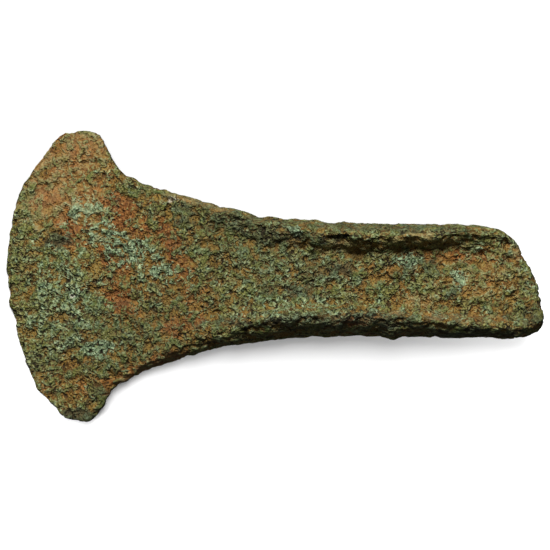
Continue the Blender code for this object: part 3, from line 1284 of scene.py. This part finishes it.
@dataclass(frozen=True)
class Rest:
    """How the head lies: on its cutting edge and on the bellies of its two lower flanges."""

    belly_start: float = 50.0
    belly_reach: float = 78.0
    belly_gap: float = 21.0
    turns: int = 30
    contact_flat: float = 0.12

    def turned(self, points: Array, tip: float, roll: float) -> Array:
        """Level points after a roll about the length and a tip that lifts the butt.

        Args:
            points: level points.
            tip: radians.
            roll: radians.

        Returns:
            The turned points.
        """
        x, y, z = points.T
        upright = z * math.cos(roll) + y * math.sin(roll)
        sideways = y * math.cos(roll) - z * math.sin(roll)
        forward = x * math.cos(tip) - upright * math.sin(tip)
        height = x * math.sin(tip) + upright * math.cos(tip)
        return np.column_stack((forward, sideways, height))

    def angles(self, points: Array) -> Pair:
        """Tip and roll, in radians, at which the edge and both bellies are equally low.

        Each turn of the loop adds what the three heights still differ by, over the distances
        between them.

        Args:
            points: the smooth form's level points.

        Returns:
            The tip and the roll.
        """
        edge = points[:, 0] < self.belly_start
        near, far = ~edge & (points[:, 1] < 0), ~edge & (points[:, 1] > 0)
        tip, roll = 0.0, 0.0
        for _ in range(self.turns):
            height = self.turned(points, tip, roll)[:, 2]
            low_edge, low_near, low_far = (height[part].min() for part in (edge, near, far))
            tip += (low_edge - (low_near + low_far) / 2) / self.belly_reach
            roll += (low_near - low_far) / self.belly_gap
        return tip, roll

    def lay(self, points: Array, smooth: Array) -> Array:
        """The roughened skin, laid down and centred by the smooth form.

        Args:
            points: level points to lay down.
            smooth: the smooth form's level points, which set the angles and the place.

        Returns:
            Points in mm with nothing under the surface they lie on.
        """
        tip, roll = self.angles(smooth)
        resting = self.turned(smooth, tip, roll)
        centre = (resting.min(axis=0) + resting.max(axis=0)) / 2
        centre[2] = resting[:, 2].min() + self.contact_flat
        laid = self.turned(points, tip, roll) - centre
        laid[:, 2] = np.maximum(laid[:, 2], 0.0)
        return laid


@dataclass(frozen=True)
class AxeHead:
    """The whole head as one closed skin."""

    name: str = "corroded_axe_head"
    form: HeadForm = HeadForm()
    relief: Relief = Relief()
    ground: Ground = field(default_factory=Ground)
    rest: Rest = Rest()
    finish: PatinatedBronze = PatinatedBronze()
    # How far the inner faces are spared what steep sides get, and how far crests count as flanks.
    inner_spared: float = 0.75
    crest_share: float = 0.6
    # What a millimetre of crack or hollow adds to the skin's hollow number, which sets painted
    # shade.
    sunk_shade: float = 2.0
    # The reach of its oval at which a hollow's wall starts, and how much reach the wall takes.
    rim_reach: float = 1.3
    wall_reach: float = 0.8
    # The layers lie on skin that faces up, down to this height over the mid-plane.
    lowest_layer: float = -0.3

    def build(self) -> bpy.types.Object:
        """Works out the skin, makes its mesh and dresses it.

        The smooth form is swelled, then every vertex moves out along its normal by the relief.
        Upright sides, and to a share the crests, count as flanks, which have ribs.

        Returns:
            The object, at the origin, on the CAD part's body.
        """
        u = self.form.ring_places()[:, None]
        s = self.form.column_places(u)
        grid = Grid(self.form.rings, self.form.columns)
        quads = grid.quads()
        smooth = grid.gather(*(self.face_points(u, s, face) for face in Face))
        normals = outward_normals(smooth, quads)
        covers = self.covers(smooth, normals)
        ridge, inside = (
            grid.gather(part, part)[:, 0]
            for part in (self.form.ridge(u, s), self.form.inside(u, s))
        )
        steep = (1 - normals[:, 2] ** 2) * (1 - self.inner_spared * inside)
        flank = np.maximum(steep, ridge * self.crest_share)
        skin = self.relief.heights(smooth, covers, flank)
        sunk = self.sunk(smooth, normals)
        height = (skin.pop("relief") - self.relief.level) * rise(self.relief.side_share, 1 - steep)
        height -= self.relief.side_inset * steep + sunk
        skin["hollow"] += np.clip(sunk, 0.0, 1.0) * self.sunk_shade
        skin["flank"] = flank
        skin["crest"] = ridge * (1 - steep)
        laid = self.rest.lay(smooth + normals * height[:, None], smooth) * MM
        piece = self.make_mesh(laid, quads, covers, skin)
        piece.data.materials.append(self.finish.material())
        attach(piece, "root")
        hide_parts("axe_head")
        log.info("%s: %d vertices, %d triangles", self.name, len(laid), 2 * len(quads))
        return piece

    def face_points(self, u: Array, s: Array, face: Face) -> Array:
        """Points of one swelled face, near side to far side.

        Args:
            u: rings.
            s: section parameters.
            face: the face.

        Returns:
            x, y and z at each ring and column.
        """
        x, y, height = self.form.section(u, s, face)
        flat = np.stack((x, y, np.zeros_like(x)), axis=-1)
        low, high = self.relief.swell_fade
        thick = np.clip((height - low) / (high - low), 0.0, 1.0)
        height = height + self.relief.swell(flat, face.value) * thick
        return np.stack((x, y, face.value * height), axis=-1)

    def covers(self, points: Array, normals: Array) -> dict[Finish, Array]:
        """How much of each layer lies at each vertex: on the upper face, less as it turns over.

        Args:
            points: the smooth form's vertices.
            normals: their normals.

        Returns:
            Each layer's shares.
        """
        above = ease((normals[:, 2] + 0.5) * 1.5) * (points[:, 2] > self.lowest_layer)
        layers = self.ground.layers().items()
        return {finish: layer.cover(points) * above for finish, layer in layers}

    def sunk(self, points: Array, normals: Array) -> Array:
        """Depth of the upper face's cracks and hollows at each vertex.

        Args:
            points: the smooth form's vertices.
            normals: their normals.

        Returns:
            Depths in mm, under 0 where earth is heaped up.
        """
        x, y, _ = points.T
        depth = sum(crack.depth_at(x, y) for crack in self.ground.cracks)
        for hollow in self.ground.hollows:
            wall = ease((self.rim_reach - hollow.reach(x, y)) / self.wall_reach)
            depth = depth + hollow.amount * wall
        return depth * (normals[:, 2] > 0.0)

    def make_mesh(
        self,
        points: Array,
        quads: Array,
        covers: dict[Finish, Array],
        skin: dict[str, Array],
    ) -> bpy.types.Object:
        """Puts the skin into a mesh and its covers into attributes.

        Args:
            points: vertices in metres.
            quads: faces.
            covers: shares of each layer.
            skin: more numbers for each vertex, by name.

        Returns:
            The new object.
        """
        mesh = bpy.data.meshes.new(self.name)
        mesh.vertices.add(len(points))
        mesh.vertices.foreach_set("co", points.astype(np.float32).ravel())
        mesh.loops.add(quads.size)
        mesh.loops.foreach_set("vertex_index", quads.astype(np.int32).ravel())
        mesh.polygons.add(len(quads))
        mesh.polygons.foreach_set("loop_start", np.arange(0, quads.size, 4, dtype=np.int32))
        mesh.update(calc_edges=True)
        mesh.shade_smooth()
        values = {finish.value: cover for finish, cover in covers.items()}
        values.update(skin)
        for name, numbers in values.items():
            layer = mesh.attributes.new(name, "FLOAT", "POINT")
            layer.data.foreach_set("value", numbers.astype(np.float32))
        mesh.validate()
        return new_object(self.name, mesh)


# ---- The studio ----


@dataclass(frozen=True)
class SoftLight:
    """A soft light that looks at the middle of the scene.

    Attributes:
        name: the light's name.
        azimuth: degrees round the head from the near side, anticlockwise from above.
        elevation: degrees over the floor.
        distance: metres.
        size: side of the panel or width of the bulb, in metres.
        power: watts.
        lamp: panel or bulb.
    """

    name: str
    azimuth: float
    elevation: float
    distance: float
    size: float
    power: float
    lamp: Lamp = Lamp.PANEL

    def place(self, lit: bpy.types.Object) -> bpy.types.Object:
        """Makes the light and turns it to the middle.

        Args:
            lit: the one object that it falls on.

        Returns:
            The lamp.
        """
        light = bpy.data.lights.new(self.name, self.lamp.value)
        if self.lamp is Lamp.PANEL:
            light.shape = "SQUARE"
            light.size = self.size
        else:
            light.shadow_soft_size = self.size / 2
        light.energy = self.power
        lamp = new_object(self.name, light)
        stand_off(lamp, Vector(), self.azimuth, self.elevation, self.distance)
        receivers = bpy.data.collections.new(f"{self.name}_falls_on")
        receivers.objects.link(lit)
        lamp.light_linking.receiver_collection = receivers
        lamp.visible_camera = False
        return lamp


def stand_off(
    made: bpy.types.Object, aim: Vector, azimuth: float, elevation: float, distance: float
) -> None:
    """Moves a lamp or camera off a point and turns it to look back at that point.

    Args:
        made: the lamp or camera.
        aim: the point.
        azimuth: degrees round the point from the near side, anticlockwise from above.
        elevation: degrees over the floor.
        distance: metres.
    """
    around, up = math.radians(azimuth), math.radians(elevation)
    outwards = Vector(
        (math.sin(around) * math.cos(up), -math.cos(around) * math.cos(up), math.sin(up))
    )
    made.location = aim + outwards * distance
    made.rotation_mode = "QUATERNION"
    made.rotation_quaternion = outwards.to_track_quat("Z", "Y")


@dataclass(frozen=True)
class Studio:
    """A pale floor, soft daylight from the far side, and a camera almost overhead."""

    floor_size: float = 6.0
    floor_drop: float = 0.00002
    floor_colour: Colour = (0.9, 0.9, 0.9, 1.0)
    floor_roughness: float = 0.9
    head_light: SoftLight = SoftLight("head_light", 195.0, 57.0, 0.9, 0.3, 14.4)
    floor_light: SoftLight = SoftLight("floor_light", 178.0, 76.0, 1.0, 0.48, 10.1)
    floor_fill: SoftLight = SoftLight("floor_fill", 1.2, 85.0, 1.0, 0.05, 1.4)
    butt_fill: SoftLight = SoftLight("butt_fill", 65.0, 24.0, 0.085, 0.02, 0.06, Lamp.BULB)
    tip_fill: SoftLight = SoftLight("tip_fill", 304.0, 20.0, 0.085, 0.02, 0.05, Lamp.BULB)
    sky_over: Colour = (1.0, 1.0, 1.0, 1.0)
    sky_strength: float = 0.08
    camera_azimuth: float = 1.2
    camera_elevation: float = 85.0
    camera_distance: float = 0.5324
    camera_aim: Triple = (0.0007, 0.0004, -0.0013)
    lens: float = 150.0
    sensor: float = 36.0
    clip_start: float = 0.01

    def build(self, head: bpy.types.Object) -> None:
        """Makes the floor, the lights, the sky and the camera.

        Args:
            head: the axe head, which has a lower light to itself that rakes over its skin.
        """
        floor = self.make_floor()
        self.head_light.place(head)
        for light in (self.floor_light, self.floor_fill, self.butt_fill, self.tip_fill):
            light.place(floor)
        self.make_sky()
        self.make_camera()
        bpy.context.scene.view_settings.view_transform = "Standard"

    def make_floor(self) -> bpy.types.Object:
        """A square of four corners, a hair under the head, that throws no light back up.

        Returns:
            The floor.
        """
        half = self.floor_size / 2
        square = ((-half, -half), (half, -half), (half, half), (-half, half))
        mesh = bpy.data.meshes.new("floor")
        mesh.from_pydata([(x, y, -self.floor_drop) for x, y in square], [], [(0, 1, 2, 3)])
        mesh.materials.append(
            plain_material("pale_floor", self.floor_colour, self.floor_roughness)
        )
        ground = new_object("floor", mesh)
        ground.visible_diffuse = False
        ground.visible_glossy = False
        return ground

    def make_sky(self) -> None:
        """An even dim sky that fills the shadows."""
        world = bpy.data.worlds.new("soft_sky")
        world.use_nodes = True
        background = world.node_tree.nodes["Background"]
        background.inputs["Color"].default_value = self.sky_over
        background.inputs["Strength"].default_value = self.sky_strength
        bpy.context.scene.world = world

    def make_camera(self) -> None:
        """A long lens that looks down at the head, leaning back a little from overhead."""
        low, high = CAD_BOX
        camera = bpy.data.cameras.new("camera")
        camera.lens = self.lens
        camera.sensor_width = self.sensor
        camera.clip_start = self.clip_start
        seat = new_object("camera", camera)
        aim = (low + high) / 2 + Vector(self.camera_aim)
        stand_off(seat, aim, self.camera_azimuth, self.camera_elevation, self.camera_distance)
        bpy.context.scene.camera = seat


def corners(box: tuple[Vector, Vector]) -> list[list[float]]:
    """A box's two corners as plain lists."""
    return [list(corner) for corner in box]


def main() -> None:
    """Builds the head and the studio."""
    logging.basicConfig(level=logging.INFO, format="%(message)s")
    head = AxeHead().build()
    Studio().build(head)
    bpy.context.view_layer.update()


if __name__ == "__main__":
    main()
